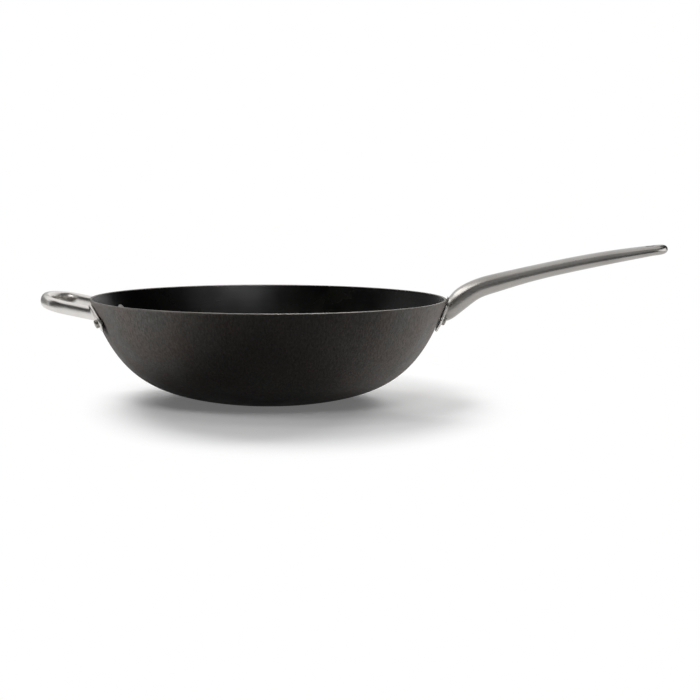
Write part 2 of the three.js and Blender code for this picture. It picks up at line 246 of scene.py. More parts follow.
@dataclass(frozen=True)
class SandCastIron(Finish):
    """Cast iron as it left the sand mould, under baked oil.

    It is brown-grey and grainy, with faint upright streaks, and darkest low down, from painted shade towards
    the floor.
    """

    colour: str = "#3f3d3b"
    warm: str = "#483f3b"
    warm_span: tuple[float, float] = (0.42, 0.72)
    warm_share: float = 0.55
    cool: str = "#393a38"
    cool_span: tuple[float, float] = (0.5, 0.75)
    cool_share: float = 0.6
    blotch_mm: float = 26.0
    tint_mm: float = 43.33
    patch_mm: float = 80.0
    # Sand grains and streaks are finer than a pixel, about a millimetre here, so they are drawn coarser.
    grain_mm: float = 1.5
    streak_mm: tuple[float, float, float] = (1.7, 1.7, 14.0)
    # Pits, streaks and patches scale the colour, each between two shades.
    pit_span: tuple[float, float] = (0.3, 0.62)
    pit_shade: tuple[float, float] = (0.72, 1.08)
    streak_shade: tuple[float, float] = (0.76, 1.24)
    patch_span: tuple[float, float] = (0.35, 0.65)
    patch_shade: tuple[float, float] = (0.84, 1.16)
    # Between these heights a painted shade fades from its darkest near the floor to the plain colour.
    painted_shade_heights_mm: tuple[float, float] = (4.0, 27.0)
    painted_shade_levels: tuple[float, float] = (0.2, 1.0)
    roughness: tuple[float, float] = (0.5, 0.66)
    grain_depth_mm: float = 0.16
    streak_depth_mm: float = 0.12
    specular: float = 0.06

    def paint(self, tree: bpy.types.NodeTree, shader: bpy.types.Node, place: bpy.types.NodeSocket) -> None:
        """Mottle the colour, and cut grain and upright streaks into the surface."""
        per_streak = tuple(1 / size for size in self.streak_mm)
        stretched = add_node(tree, "ShaderNodeVectorMath", {0: place, 1: per_streak}, operation="MULTIPLY")
        patterns: dict[str, bpy.types.NodeSocket] = {}
        for name, where, size, detail, harshness in (
            ("blotch", place, self.blotch_mm, 4.0, 0.6),
            ("tint", place, self.tint_mm, 2.0, 0.5),
            ("patch", place, self.patch_mm, 1.0, 0.5),
            ("grain", place, self.grain_mm, 3.0, 0.65),
            ("streak", stretched.outputs["Vector"], 1.0, 2.0, 0.5),
        ):
            sockets = {"Vector": where, "Scale": 1 / size, "Detail": detail, "Roughness": harshness}
            patterns[name] = add_node(tree, "ShaderNodeTexNoise", sockets).outputs["Fac"]
        patterns["height"] = add_node(tree, "ShaderNodeSeparateXYZ", {0: place}).outputs["Z"]
        plain = linear(self.colour)
        colour = self.mottle(tree, patterns["blotch"], self.warm_span, plain, self.warm, self.warm_share)
        colour = self.mottle(tree, patterns["tint"], self.cool_span, colour, self.cool, self.cool_share)
        for name, span, shade, ease in (
            ("grain", self.pit_span, self.pit_shade, "LINEAR"),
            ("streak", NOISE_SPAN, self.streak_shade, "LINEAR"),
            ("patch", self.patch_span, self.patch_shade, "LINEAR"),
            # Painted shade: the colour darkens towards the floor.
            ("height", self.painted_shade_heights_mm, self.painted_shade_levels, "SMOOTHSTEP"),
        ):
            sockets = {
                "Value": patterns[name],
                "From Min": span[0],
                "From Max": span[1],
                "To Min": shade[0],
                "To Max": shade[1],
            }
            layer = add_node(tree, "ShaderNodeMapRange", sockets, interpolation_type=ease)
            scaled = {0: colour, "Scale": layer.outputs["Result"]}
            colour = add_node(tree, "ShaderNodeVectorMath", scaled, operation="SCALE").outputs["Vector"]
        tree.links.new(colour, shader.inputs["Base Color"])
        self.vary_sheen(tree, shader, patterns["blotch"], self.roughness)
        reliefs = [(patterns["grain"], self.grain_depth_mm), (patterns["streak"], self.streak_depth_mm)]
        self.carve(tree, shader, reliefs)
        shader.inputs["Specular IOR Level"].default_value = self.specular


@dataclass(frozen=True)
class TurnedIron(Finish):
    """Cast iron turned on a lathe and seasoned black: smooth satin with faint rings round the axis."""

    colour: str = "#020202"
    worn: str = "#060605"
    worn_span: tuple[float, float] = (0.35, 0.75)
    blotch_mm: float = 34.0
    # The tool's rings and the iron's grain are finer than a pixel, so both are drawn coarser.
    ring_mm: float = 2.6
    ring_waver: float = 0.6
    grain_mm: float = 1.4
    roughness: tuple[float, float] = (0.22, 0.3)
    ring_depth_mm: float = 0.012
    grain_depth_mm: float = 0.12
    specular: float = 0.09

    def paint(self, tree: bpy.types.NodeTree, shader: bpy.types.Node, place: bpy.types.NodeSocket) -> None:
        """Lay faint turning rings and cloudy oil over black."""
        blotch, grain = (
            add_node(tree, "ShaderNodeTexNoise", {"Vector": place, "Scale": 1 / size, "Detail": detail})
            for size, detail in ((self.blotch_mm, 3.0), (self.grain_mm, 2.0))
        )
        sockets = {
            "Vector": place,
            "Scale": WAVE_PERIOD / self.ring_mm,
            "Distortion": self.ring_waver,
            "Detail": 1.0,
        }
        rings = add_node(tree, "ShaderNodeTexWave", sockets, wave_type="RINGS", rings_direction="Z")
        colour = self.mottle(tree, blotch.outputs["Fac"], self.worn_span, linear(self.colour), self.worn)
        tree.links.new(colour, shader.inputs["Base Color"])
        self.vary_sheen(tree, shader, blotch.outputs["Fac"], self.roughness)
        reliefs = [(rings.outputs["Fac"], self.ring_depth_mm), (grain.outputs["Fac"], self.grain_depth_mm)]
        self.carve(tree, shader, reliefs)
        shader.inputs["Specular IOR Level"].default_value = self.specular


@dataclass(frozen=True)
class RubbedMetal(Finish):
    """Bare metal rubbed with grit: a soft mirror with fine scratches and cloudy patches."""

    colour: str = "#cbc8c3"
    dull: str = "#b3b0ab"
    roughness: tuple[float, float] = (0.2, 0.3)
    # Size of a scratch in X, Y and Z, drawn coarser than the grit's because a pixel is about a millimetre.
    scratch_mm: tuple[float, float, float] = (30.0, 0.9, 0.9)
    scratch_depth_mm: float = 0.01
    cloud_mm: float = 22.0
    cloud_span: tuple[float, float] = (0.3, 0.75)

    def paint(self, tree: bpy.types.NodeTree, shader: bpy.types.Node, place: bpy.types.NodeSocket) -> None:
        """Cloud the metal and draw scratches over the piece."""
        per_scratch = tuple(1 / size for size in self.scratch_mm)
        stretched = add_node(tree, "ShaderNodeVectorMath", {0: place, 1: per_scratch}, operation="MULTIPLY")
        cloud, scratch = (
            add_node(
                tree,
                "ShaderNodeTexNoise",
                {"Vector": where, "Scale": 1 / size, "Detail": detail, "Roughness": harshness},
            ).outputs["Fac"]
            for where, size, detail, harshness in (
                (place, self.cloud_mm, 3.0, 0.5),
                (stretched.outputs["Vector"], 1.0, 2.0, 0.6),
            )
        )
        colour = self.mottle(tree, cloud, self.cloud_span, linear(self.colour), self.dull)
        tree.links.new(colour, shader.inputs["Base Color"])
        self.vary_sheen(tree, shader, scratch, self.roughness)
        self.carve(tree, shader, [(scratch, self.scratch_depth_mm)])
        shader.inputs["Metallic"].default_value = 1.0


# Baked oil over the mould's grain scatters light softly, and mirrors it only at a glance along the wall.
OUTSIDE = SandCastIron("seasoned_sand_cast_iron")
# Turned and oiled iron is almost black, with a broad dull sheen.
INSIDE = TurnedIron("seasoned_turned_iron")
# The rim is ground bare, so it shows as a thin pale line.
RIM = RubbedMetal("ground_bare_iron", "#807d79", "#676460", (0.6, 0.74), (3.0, 3.0, 0.6), 0.02, 12.0)
# Long strokes of the belt leave fine lines along the tube and blur what it mirrors.
TUBE = RubbedMetal("belt_satin_stainless", "#aaa7a3", "#9b9894", (0.26, 0.34), (40.0, 1.2, 1.2), 0.003)
# Buffing leaves the loop paler than the tube, with soft bright bands.
BAR = RubbedMetal("buffed_stainless", "#e4e1dd", "#d6d3cf", (0.28, 0.34), (14.0, 1.2, 1.2), 0.003)
# Cut plates keep the bright skin of the rolling mill, and show as pale edges against the iron.
PLATE = RubbedMetal("mill_bright_stainless", "#e2dfdb", "#d0cdc9", (0.26, 0.34), (6.0, 6.0, 1.0), 0.003)
# Rivet heads are tumbled and a little duller than the loop.
PIN = RubbedMetal("tumbled_stainless", "#a3a09b", "#8b8883", (0.28, 0.38), (2.0, 2.0, 2.0), 0.008, 6.0)


# Curves, rings and skins


def natural_spline(knots: np.ndarray, values: np.ndarray, at: np.ndarray) -> np.ndarray:
    """Smooth curve through points, with free ends.

    Args:
        knots: Increasing positions of the points.
        values: One row of values for each point.
        at: Positions to sample.

    Returns:
        One row of values for each sample.
    """
    step = np.diff(knots)
    count = len(knots)
    matrix = np.eye(count)
    right = np.zeros_like(values)
    for i in range(1, count - 1):
        matrix[i, i - 1 : i + 2] = step[i - 1], 2 * (step[i - 1] + step[i]), step[i]
        right[i] = 6 * ((values[i + 1] - values[i]) / step[i] - (values[i] - values[i - 1]) / step[i - 1])
    bend = np.linalg.solve(matrix, right)
    i = np.clip(np.searchsorted(knots, at) - 1, 0, count - 2)
    h = step[i][:, None]
    a = (knots[i + 1] - at)[:, None] / h
    b = (at - knots[i])[:, None] / h
    return a * values[i] + b * values[i + 1] + ((a**3 - a) * bend[i] + (b**3 - b) * bend[i + 1]) * h**2 / 6


def oval_ring(
    centre: np.ndarray,
    across: np.ndarray,
    up: np.ndarray,
    width: float,
    height: float,
    squareness: float,
    sides: int,
) -> np.ndarray:
    """Rounded section ring.

    Args:
        centre: Middle of the ring.
        across: Unit direction of the width.
        up: Unit direction of the height.
        width: Full width.
        height: Full height.
        squareness: 2 is an ellipse, and more is squarer.
        sides: Number of points.

    Returns:
        Points of the ring, one row each.
    """
    angle = 2 * np.pi * (np.arange(sides) + 0.5) / sides
    cosine, sine = np.cos(angle), np.sin(angle)
    power = 2 / squareness
    x = np.sign(cosine) * np.abs(cosine) ** power * width / 2
    y = np.sign(sine) * np.abs(sine) ** power * height / 2
    return centre + x[:, None] * across + y[:, None] * up


def turned_ring(radius: float, height: float, sides: int) -> np.ndarray:
    """Circle round the Z axis, one row for each point."""
    angle = 2 * np.pi * np.arange(sides) / sides
    return np.stack([radius * np.cos(angle), radius * np.sin(angle), np.full(sides, height)], 1)


def skin(
    name: str, rings: list[np.ndarray], finishes: list[Finish], bands: list[int] | None = None
) -> bpy.types.Object:
    """Join rings of equal length into one closed, smooth mesh.

    Args:
        name: Name of the object.
        rings: Rings in order, in millimetres.
        finishes: Finishes of the object's material slots.
        bands: Slot number of each strip between rings. The ends take that of the strip beside them.

    Returns:
        The new object, in metres.
    """
    sides = len(rings[0])
    points = np.concatenate([*rings, rings[0].mean(0)[None], rings[-1].mean(0)[None]]) * MM
    first, last = len(points) - 2, len(points) - 1
    faces, slots = [], []
    bands = bands or [0] * (len(rings) - 1)
    for j in range(sides):
        k = (j + 1) % sides
        faces.append((k, j, first))
        slots.append(bands[0])
    for i, band in enumerate(bands):
        for j in range(sides):
            k = (j + 1) % sides
            faces.append((i * sides + j, i * sides + k, (i + 1) * sides + k, (i + 1) * sides + j))
            slots.append(band)
    start = (len(rings) - 1) * sides
    for j in range(sides):
        faces.append((start + j, start + (j + 1) % sides, last))
        slots.append(bands[-1])
    mesh = bpy.data.meshes.new(name)
    mesh.from_pydata(points.tolist(), [], faces)
    for finish in finishes:
        mesh.materials.append(finish.material())
    mesh.polygons.foreach_set("material_index", slots)
    turn_outwards(mesh)
    mesh.shade_smooth()
    mesh.set_sharp_from_angle(angle=SHARP_ANGLE)
    piece = bpy.data.objects.new(name, mesh)
    bpy.context.scene.collection.objects.link(piece)
    return piece


def turn_outwards(mesh: bpy.types.Mesh) -> None:
    """Flip a closed mesh whose faces look inwards.

    Args:
        mesh: Closed mesh with one winding.
    """
    mesh.calc_loop_triangles()
    corners = np.array([[mesh.vertices[i].co for i in face.vertices] for face in mesh.loop_triangles])
    volume = np.einsum("ij,ij->i", corners[:, 0], np.cross(corners[:, 1], corners[:, 2])).sum()
    if volume < 0:
        mesh.flip_normals()
    mesh.update()


def settle(piece: bpy.types.Object, node: str) -> None:
    """Put a finished piece in the frame in place of its solid.

    Args:
        piece: Finished object.
        node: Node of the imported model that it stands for.
    """
    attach(piece, BODY)
    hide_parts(node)
    log.info("%s: %d faces", piece.name, len(piece.data.polygons))


# The bowl's wall, which everything else sits on


@dataclass(frozen=True)
class WallFrame:
    """Flat frame that touches the outside of the wall: across, up the wall and straight out."""

    origin: np.ndarray
    across: np.ndarray
    up: np.ndarray
    out: np.ndarray

    def world(self, points: np.ndarray) -> np.ndarray:
        """Move points of this frame into the object's frame."""
        return self.origin + points @ np.stack([self.across, self.up, self.out])

    def local(self, points: np.ndarray) -> np.ndarray:
        """Move points of the object's frame into this frame."""
        return (points - self.origin) @ np.stack([self.across, self.up, self.out], 1)


@dataclass(frozen=True)
class Wall:
    """Meridian of the bowl's outside, from the edge of the base to the rim."""

    rim_radius: float = 175.0
    rim_height: float = 99.5
    base_radius: float = 60.0
    base_angle: float = 9.0
    rim_angle: float = 71.7
    # Lengths of the tangents that pull the curve at its two ends.
    base_pull: float = 59.0
    rim_pull: float = 76.6
    rim_thickness: float = 2.5
    base_thickness: float = 3.0
    samples: int = 4001

    def corners(self) -> np.ndarray:
        """Four control points of the meridian."""
        base = np.array([self.base_radius, 0.0])
        rim = np.array([self.rim_radius, self.rim_height])
        low, high = math.radians(self.base_angle), math.radians(self.rim_angle)
        return np.stack([
            base,
            base + self.base_pull * np.array([math.cos(low), math.sin(low)]),
            rim - self.rim_pull * np.array([math.cos(high), math.sin(high)]),
            rim,
        ])

    def point(self, t: np.ndarray) -> np.ndarray:
        """Radius and height at shares t of the meridian."""
        t = np.asarray(t, float)[..., None]
        a, b, c, d = self.corners()
        return (1 - t) ** 3 * a + 3 * (1 - t) ** 2 * t * b + 3 * (1 - t) * t**2 * c + t**3 * d

    def heading(self, t: np.ndarray) -> np.ndarray:
        """Unit direction of the meridian at shares t."""
        t = np.asarray(t, float)[..., None]
        a, b, c, d = self.corners()
        slope = (1 - t) ** 2 * (b - a) + 2 * (1 - t) * t * (c - b) + t**2 * (d - c)
        return slope / np.linalg.norm(slope, axis=-1, keepdims=True)

    def inside(self, t: np.ndarray) -> np.ndarray:
        """Radius and height of the inner surface at shares t."""
        t = np.asarray(t, float)
        base = self.base_thickness / math.cos(math.radians(self.base_angle))
        thickness = (base + (self.rim_thickness - base) * t)[..., None]
        heading = self.heading(t)
        return self.point(t) + thickness * np.stack([-heading[..., 1], heading[..., 0]], -1)

    def share_at(self, height: float, inner: bool = False) -> float:
        """Share of the meridian at a height.

        Args:
            height: Height above the base.
            inner: Read the inner surface instead of the outer one.

        Returns:
            Share between 0 and 1.
        """
        t = np.linspace(0, 1, self.samples)
        heights = (self.inside(t) if inner else self.point(t))[:, 1]
        return float(np.interp(height, heights, t))

    def radius_at(self, heights: np.ndarray) -> np.ndarray:
        """Radius of the outer surface at some heights."""
        radii, levels = self.point(np.linspace(0, 1, self.samples)).T
        return np.interp(heights, levels, radii)

    def touching(self, azimuth: float, depth: float) -> WallFrame:
        """Frame that touches the wall.

        Args:
            azimuth: Angle round the axis in radians.
            depth: Distance below the rim.

        Returns:
            The frame.
        """
        t = self.share_at(self.rim_height - depth)
        radius, height = self.point(t)
        run, rise = self.heading(t)
        c, s = math.cos(azimuth), math.sin(azimuth)
        up = np.array([run * c, run * s, rise])
        out = np.array([rise * c, rise * s, -run])
        return WallFrame(np.array([radius * c, radius * s, height]), np.cross(up, out), up, out)

    def spot(self, seat: WallFrame, facing: int, lateral: float, depth: float) -> np.ndarray:
        """Place of a wall spot in a touching frame.

        Args:
            seat: Touching frame.
            facing: 1 for the long handle's side, -1 for the loop's side.
            lateral: Distance from the centre plane.
            depth: Distance below the rim.

        Returns:
            The spot in the frame.
        """
        radius, height = self.point(self.share_at(self.rim_height - depth))
        return seat.local(np.array([facing * math.sqrt(radius**2 - lateral**2), lateral, height]))


@dataclass
class Bowl:
    """Turned iron bowl: grainy outside, ground rim, black inside and a flat base."""

    wall: Wall
    sides: int = 288
    steps: int = 90
    lip_steps: int = 4
    rim_chamfer: float = 0.5
    # Rings of the flat underside and of the floor, as shares of the base's radius.
    flat_shares: tuple[float, ...] = (0.02, 0.35, 0.7, 0.93)
    wobble: float = 0.07
    wobble_size: float = 34.0
    # The casting is true at the base and at the rim, and fully uneven only further from them.
    true_height: tuple[float, float] = (6.0, 16.0)
    true_depth: tuple[float, float] = (2.0, 10.0)

    def profile(self) -> tuple[list[tuple[float, float]], list[int]]:
        """Meridian from the middle of the underside round to the middle of the floor.

        Returns:
            Radius and height of each point, and the finish number of each strip.
        """
        wall, chamfer = self.wall, self.rim_chamfer
        top = wall.rim_height
        outer = wall.point(np.linspace(0, wall.share_at(top - chamfer), self.steps))
        inner = wall.inside(np.linspace(wall.share_at(top - chamfer, True), 0, self.steps))
        under = [(wall.base_radius * share, 0.0) for share in self.flat_shares]
        floor = [(wall.base_radius * share, wall.base_thickness) for share in reversed(self.flat_shares)]
        bow = np.linspace(0, QUARTER_TURN, self.lip_steps + 1)[1:]
        outer_lip = [
            (outer[-1, 0] - chamfer * (1 - math.cos(a)), top - chamfer * (1 - math.sin(a))) for a in bow
        ]
        inner_lip = [
            (inner[0, 0] + chamfer * (1 - math.cos(a)), top - chamfer * (1 - math.sin(a))) for a in bow[::-1]
        ]
        points = [*under, *map(tuple, outer), *outer_lip, *inner_lip, *map(tuple, inner), *floor]
        outside, rim, inside = range(3)
        bands = [outside] * (len(under) + len(outer) - 1)
        bands += [rim] * (len(outer_lip) + len(inner_lip) + 1)
        bands += [inside] * (len(points) - 1 - len(bands))
        return points, bands

    def build(self) -> bpy.types.Object:
        """Turn the bowl, with the slight unevenness of a casting.

        Returns:
            The bowl.
        """
        points, bands = self.profile()
        rings = [turned_ring(radius, height, self.sides) for radius, height in points]
        bowl = skin("wok_bowl_dressed", rings, [OUTSIDE, RIM, INSIDE], bands)
        for vertex in bowl.data.vertices:
            place = vertex.co / MM
            ease = np.interp(place.z, self.true_height, (0, 1))
            ease *= np.interp(self.wall.rim_height - place.z, self.true_depth, (0, 1))
            drift = noise.noise(place / self.wobble_size) * self.wobble * float(ease)
            vertex.co -= Vector((place.x, place.y, 0)).normalized() * abs(drift) * MM
        settle(bowl, "wok_bowl")
        return bowl


@dataclass
class WallPlate:
    """Flat steel plate against the wall, with rounded edges. Its outline runs tight round circles."""

    name: str
    node: str
    frame: WallFrame
    circles: list[tuple[float, float, float]]
    slot: Slot
    finish: Finish
    gap: float = 0.3
    thickness: float = 2.5
    edge: float = 0.9
    edge_steps: int = 7
    # Insets of the two rings on each flat face, in edge radii.
    face_insets: tuple[float, float] = (2.4, 1.3)
    arc_points: int = 26

    def outline(self, inset: float, height: float) -> np.ndarray:
        """Ring of the plate.

        Args:
            inset: Distance in from the plate's edge.
            height: Distance out from the wall.

        Returns:
            Points in the object's frame.
        """
        ring = self.circles
        area = sum(a[0] * b[1] - b[0] * a[1] for a, b in zip(ring, ring[1:] + ring[:1]))
        ring = ring if area > 0 else ring[::-1]
        leaving = []
        for (x, y, r), (nx, ny, nr) in zip(ring, ring[1:] + ring[:1]):
            leaving.append(math.atan2(ny - y, nx - x) - math.acos((r - nr) / math.hypot(nx - x, ny - y)))
        points = []
        for i, (x, y, r) in enumerate(ring):
            start = leaving[i - 1]
            sweep = (leaving[i] - start) % (2 * math.pi)
            for angle in np.linspace(start, start + sweep, self.arc_points):
                points.append((x + (r - inset) * math.cos(angle), y + (r - inset) * math.sin(angle), height))
        return self.frame.world(np.array(points))

    def build(self) -> bpy.types.Object:
        """Make the plate.

        Returns:
            The plate.
        """
        low, high, edge = self.gap, self.gap + self.thickness, self.edge
        bow = np.linspace(0, QUARTER_TURN, self.edge_steps)
        rings = [self.outline(edge * inset, low) for inset in self.face_insets]
        rings += [self.outline(edge * (1 - math.sin(a)), low + edge * (1 - math.cos(a))) for a in bow]
        rings += [self.outline(edge * (1 - math.cos(a)), high - edge * (1 - math.sin(a))) for a in bow]
        rings += [self.outline(edge * inset, high) for inset in reversed(self.face_insets)]
        plate = skin(self.name, rings, [self.finish])
        settle(plate, self.node)
        return plate


@dataclass
class Rivet:
    """Steel rivet: a button head on the plate, and a dome on the inside of the wall."""

    name: str
    node: str
    wall: Wall
    frame: WallFrame
    spot: np.ndarray
    seat: float = 2.8
    head_radius: float = 4.2
    head_top: float = 6.3
    head_round: float = 1.3
    # The head's top is crowned: at this share of its radius it is down by this share of the crown.
    crown: float = 0.25
    crown_bend: tuple[float, float] = (0.4, 0.3)
    shank_radius: float = 2.4
    dome_radius: float = 5.8
    dome_height: float = 2.9
    # The dome's back is sunk this far under the curved inside of the wall.
    dome_sink: float = 0.6
    end_radius: float = 0.1
    round_steps: int = 8
    sides: int = 48

    def build(self) -> bpy.types.Object:
        """Turn the rivet.

        Returns:
            The rivet.
        """
        inner = self.spot[2] - self.wall.rim_thickness
        back = inner + self.dome_sink
        bow = np.linspace(0, QUARTER_TURN, self.round_steps)
        share, fall = self.crown_bend
        profile = [(self.end_radius, self.head_top)]
        profile += [(self.head_radius * share, self.head_top - self.crown * fall)]
        profile += [
            (
                self.head_radius - self.head_round * (1 - math.sin(a)),
                self.head_top - self.crown - self.head_round * (1 - math.cos(a)),
            )
            for a in bow
        ]
        profile += [(self.head_radius, self.seat), (self.shank_radius, self.seat)]
        profile += [(self.shank_radius, back), (self.dome_radius, back)]
        profile += [
            (self.dome_radius * math.cos(a), inner - self.dome_height * math.sin(a)) for a in bow[:-1]
        ]
        profile += [(self.end_radius, inner - self.dome_height)]
        rings = []
        for radius, height in profile:
            ring = turned_ring(radius, height, self.sides)
            rings.append(self.frame.world(ring + np.array([self.spot[0], self.spot[1], 0.0])))
        rivet = skin(self.name, rings, [PIN])
        settle(rivet, self.node)
        return rivet


def weld_fillet(
    plate: WallFrame, ring: np.ndarray, along: np.ndarray, face: float | np.ndarray, size: float
) -> list[np.ndarray]:
    """Rings of a hollow fillet that joins a bar's end to a plate.

    Args:
        plate: Frame of the plate.
        ring: Last full ring of the bar, clear of the plate.
        along: Direction from that ring to the plate.
        face: Distance of what carries the bar from the wall, for all points or for each.
        size: Radius of the fillet.

    Returns:
        Rings from the plate's face to the bar.
    """
    start = plate.local(ring)
    step = np.array([along @ plate.across, along @ plate.up, along @ plate.out])
    foot = start + ((face - start[:, 2]) / step[2])[:, None] * step
    run = np.roll(foot, -1, 0) - np.roll(foot, 1, 0)
    outwards = np.stack([run[:, 1], -run[:, 0]], 1)
    outwards /= np.linalg.norm(outwards, axis=1)[:, None]
    if ((foot[:, :2] - foot[:, :2].mean(0)) * outwards).sum() < 0:
        outwards = -outwards
    rings = []
    for angle in np.linspace(QUARTER_TURN, 0, FILLET_RINGS):
        back = size * (1 - math.sin(angle))
        moved = foot - step / abs(step[2]) * back
        moved[:, :2] += outwards * size * (1 - math.cos(angle))
        rings.append(plate.world(moved))
    return rings


@dataclass
class LongHandle:
    """Hollow stainless tube on a bracket, which bends up from the wall, thins and ends in a pierced tip."""

    wall: Wall
    # Reach and rise from the rim, lean in degrees, height and width of the tube's sections.
    stations: list[tuple[float, float, float, float, float]] = field(default_factory=lambda: [
        (2.0, -9.1, 3.0, 23.7, 20.5),
        (8.9, -3.8, -10.5, 23.0, 21.5),
        (15.5, 1.5, -15.9, 22.0, 22.0),
        (23.5, 6.9, -16.4, 20.3, 22.0),
        (31.7, 11.1, -11.0, 19.1, 22.0),
        (43.8, 15.1, -13.0, 18.2, 22.0),
        (75.1, 23.7, -14.5, 15.7, 22.0),
        (121.5, 34.5, -13.5, 14.2, 22.5),
        (167.9, 43.5, -11.4, 12.5, 23.5),
        (196.9, 48.3, -8.6, 10.4, 24.0),
    ])
    root_depth: float = 10.9
    root_height: float = 24.0
    root_width: float = 19.0
    squareness: float = 2.3
    tip_length: float = 18.2
    tip_slope: float = 7.6
    # The tip loses this share of its height, and rounds off by these powers, more being blunter.
    tip_thinning: float = 0.08
    tip_height_power: float = 7.0
    tip_width_power: float = 2.6
    tip_end: float = 0.9995
    sides: int = 72
    steps: int = 190
    tip_steps: int = 26
    seat_steps: int = 22
    hole_radius: float = 5.2
    hole_inset: float = 15.4
    hole_lip: float = 1.3
    # The hole's lips end at this share of the tip's half height. Past them the cutter flares and goes on.
    hole_level: float = 0.95
    hole_flare: float = 1.2
    hole_past: float = 6.0
    hole_sides: int = 64
    lip_steps: int = 9
    weld: float = 1.1
    wall_gap: float = 0.35
    plate_face: float = 2.8
    bracket_depth: float = 15.5
    # The bracket's corners: depth below the rim, distance from the centre plane, and radius.
    corner: tuple[float, float, float] = (8.0, 9.5, 3.5)
    # Its toe: depth below the rim, and radius.
    toe: tuple[float, float] = (23.5, 8.5)
    # Its rivets: depth below the rim, and distance from the centre plane.
    rivet: tuple[float, float] = (18.8, 13.0)
    ear_radius: float = 7.5
    # From below the bracket's top edge to above it, the tube's seat goes over from the plate to the wall.
    edge_span: tuple[float, float] = (-0.4, 1.2)

    def __post_init__(self) -> None:
        """Place the bracket's frame on the wall."""
        self.bracket = self.wall.touching(0.0, self.bracket_depth)

    def ring(self, row: np.ndarray) -> np.ndarray:
        """Section of the tube.

        Args:
            row: Reach, rise, lean, height and width.

        Returns:
            Ring of points.
        """
        reach, rise, lean, height, width = row
        lean = math.radians(lean)
        centre = np.array([self.wall.rim_radius + reach, 0.0, self.wall.rim_height + rise])
        up = np.array([math.sin(lean), 0.0, math.cos(lean)])
        return oval_ring(centre, ACROSS, up, width, height, self.squareness, self.sides)

    def rows(self) -> np.ndarray:
        """Sections from the bracket to the start of the tip, evenly spaced."""
        wall = self.wall
        t = wall.share_at(wall.rim_height - self.root_depth)
        radius, height = wall.point(t)
        run, rise = wall.heading(t)
        lean = math.degrees(math.atan2(run, rise))
        root = (radius - wall.rim_radius, height - wall.rim_height, lean, self.root_height, self.root_width)
        table = np.array([root, *self.stations])
        knots = np.concatenate([[0], np.cumsum(np.linalg.norm(np.diff(table[:, :2], axis=0), axis=1))])
        return natural_spline(knots, table, np.linspace(0, knots[-1], self.steps))

    def tip_row(self, share: float) -> np.ndarray:
        """Section at a share of the tip's length."""
        reach, rise, _, height, width = self.stations[-1]
        slope = math.radians(self.tip_slope)
        distance = self.tip_length * share
        return np.array([
            reach + distance * math.cos(slope),
            rise + distance * math.sin(slope),
            -self.tip_slope,
            height * (1 - self.tip_thinning * share) * math.sqrt(1 - share**self.tip_height_power),
            width * math.sqrt(1 - share**self.tip_width_power),
        ])

    def hole_cutter(self) -> bpy.types.Object:
        """Spool that cuts the hanging hole and rounds its lips."""
        slope = math.radians(self.tip_slope)
        distance = self.tip_length - self.hole_inset
        centre = np.array([
            self.wall.rim_radius + self.stations[-1][0] + distance * math.cos(slope),
            0.0,
            self.wall.rim_height + self.stations[-1][1] + distance * math.sin(slope),
        ])
        along = np.array([math.cos(slope), 0.0, math.sin(slope)])
        up = np.array([-math.sin(slope), 0.0, math.cos(slope)])
        half, lip = self.stations[-1][3] / 2 * self.hole_level, self.hole_lip
        bow = np.linspace(0, QUARTER_TURN, self.lip_steps)
        upper = [(self.hole_radius + lip * (1 - math.cos(a)), half - lip * (1 - math.sin(a))) for a in bow]
        upper.append((self.hole_radius + lip * self.hole_flare, half + self.hole_past))
        profile = [(r, -z) for r, z in reversed(upper)] + upper
        rings = []
        for radius, height in profile:
            circle = turned_ring(radius, height, self.hole_sides)
            rings.append(centre + circle @ np.stack([along, ACROSS, up]))
        return skin("hole_cutter", rings, [TUBE])

    def build(self) -> list[bpy.types.Object]:
        """Make the tube, its bracket and its rivets.

        Returns:
            The pieces.
        """
        rivet_depth, rivet_lateral = self.rivet
        spots = {
            side: self.wall.spot(self.bracket, 1, -side.value * rivet_lateral, rivet_depth) for side in Side
        }
        corner_depth, corner_lateral, corner_radius = self.corner
        toe_depth, toe_radius = self.toe
        corners = [self.wall.spot(self.bracket, 1, sign * corner_lateral, corner_depth) for sign in (1, -1)]
        toe = self.wall.spot(self.bracket, 1, 0.0, toe_depth)
        placed = [
            (corners[0], corner_radius),
            (spots[Side.LEFT], self.ear_radius),
            (toe, toe_radius),
            (spots[Side.RIGHT], self.ear_radius),
            (corners[1], corner_radius),
        ]
        circles = [(float(spot[0]), float(spot[1]), radius) for spot, radius in placed]
        node = "handle_bracket"
        plate = WallPlate(f"{node}_dressed", node, self.bracket, circles, Slot.SATIN, PLATE)
        pieces = [self.tube(), plate.build()]
        for side, spot in spots.items():
            node = f"handle_rivet_{side.name.lower()}"
            pieces.append(Rivet(f"{node}_dressed", node, self.wall, self.bracket, spot).build())
        return pieces

    def support(self, flat: np.ndarray) -> np.ndarray:
        """Height of what the tube stands on: the bracket's face, and above its top edge the wall.

        Args:
            flat: Points of the bracket's frame.

        Returns:
            Height of the support out from the frame at each point.
        """
        level = self.bracket.world(flat * np.array([1.0, 1.0, 0.0]))
        beyond = np.hypot(level[..., 0], level[..., 1]) - self.wall.radius_at(level[..., 2])
        on_wall = self.wall_gap - beyond * math.sin(math.radians(self.wall.rim_angle))
        depth, lateral, corner_radius = self.corner
        edge = self.wall.spot(self.bracket, 1, lateral, depth)[1] + corner_radius
        past = np.interp(flat[..., 1] - edge, self.edge_span, (0, 1))
        past = past * past * (3 - 2 * past)
        return self.plate_face * (1 - past) + on_wall * past

